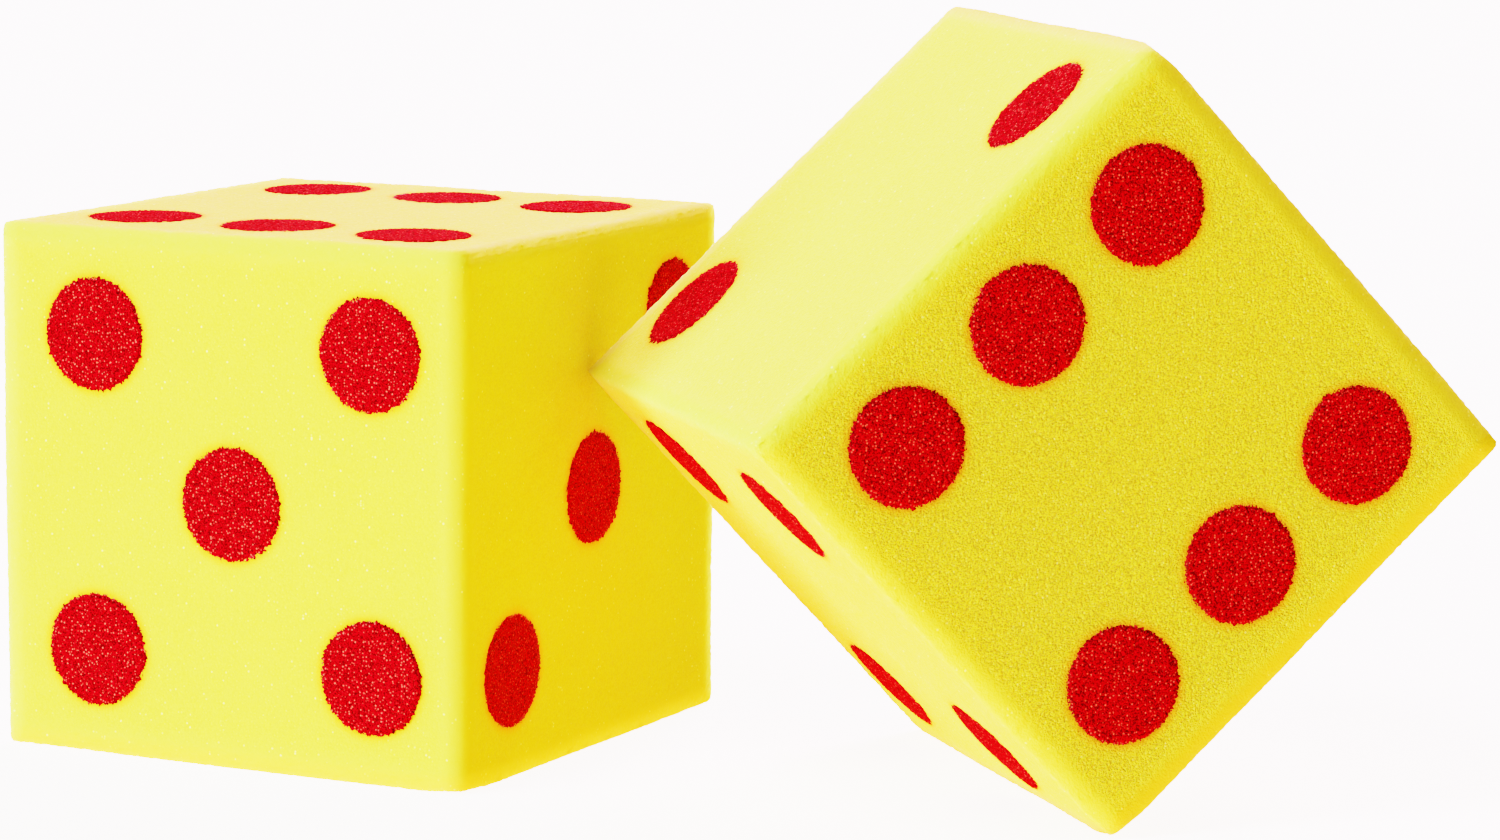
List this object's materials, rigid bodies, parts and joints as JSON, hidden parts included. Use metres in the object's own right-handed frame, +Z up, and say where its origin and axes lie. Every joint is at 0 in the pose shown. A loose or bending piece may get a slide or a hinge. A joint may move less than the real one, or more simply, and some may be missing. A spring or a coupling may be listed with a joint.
{
  "type": "giant yard dice",
  "caption": "Pair of large soft foam cubes with flush round ink pips, one lying flat and one propped on an edge against it.",
  "frame": {"origin": "centre of the face that the flat die rests on", "axes": "+Z up; +X from the flat die towards the propped one, the long way of the pair; the flat die's 5 side faces -Y"},
  "size_m": [0.4111, 0.2584, 0.2144],
  "materials": {
    "foam": "matte open-cell foam",
    "pip_ink": "matte ink-soaked foam"
  },
  "bodies": {
    "die_a": {"die_a_block": "foam", "die_a_pip_1_1": "pip_ink", "die_a_pip_2_1": "pip_ink", "die_a_pip_2_2": "pip_ink", "die_a_pip_3_1": "pip_ink", "die_a_pip_3_2": "pip_ink", "die_a_pip_3_3": "pip_ink", "die_a_pip_4_1": "pip_ink", "die_a_pip_4_2": "pip_ink", "die_a_pip_4_3": "pip_ink", "die_a_pip_4_4": "pip_ink", "die_a_pip_5_1": "pip_ink", "die_a_pip_5_2": "pip_ink", "die_a_pip_5_3": "pip_ink", "die_a_pip_5_4": "pip_ink", "die_a_pip_5_5": "pip_ink", "die_a_pip_6_1": "pip_ink", "die_a_pip_6_2": "pip_ink", "die_a_pip_6_3": "pip_ink", "die_a_pip_6_4": "pip_ink", "die_a_pip_6_5": "pip_ink", "die_a_pip_6_6": "pip_ink"},
    "die_b": {"die_b_block": "foam", "die_b_pip_1_1": "pip_ink", "die_b_pip_2_1": "pip_ink", "die_b_pip_2_2": "pip_ink", "die_b_pip_3_1": "pip_ink", "die_b_pip_3_2": "pip_ink", "die_b_pip_3_3": "pip_ink", "die_b_pip_4_1": "pip_ink", "die_b_pip_4_2": "pip_ink", "die_b_pip_4_3": "pip_ink", "die_b_pip_4_4": "pip_ink", "die_b_pip_5_1": "pip_ink", "die_b_pip_5_2": "pip_ink", "die_b_pip_5_3": "pip_ink", "die_b_pip_5_4": "pip_ink", "die_b_pip_5_5": "pip_ink", "die_b_pip_6_1": "pip_ink", "die_b_pip_6_2": "pip_ink", "die_b_pip_6_3": "pip_ink", "die_b_pip_6_4": "pip_ink", "die_b_pip_6_5": "pip_ink", "die_b_pip_6_6": "pip_ink"}
  },
  "joints": [
    {"name": "die_b_tip", "type": "hinge", "parent": "die_a", "child": "die_b", "pos_m": [0.20307, 0.0153, 0.0012], "axis": [-0.7071, 0.7071, 0], "range_deg": [0, 43]}
  ]
}
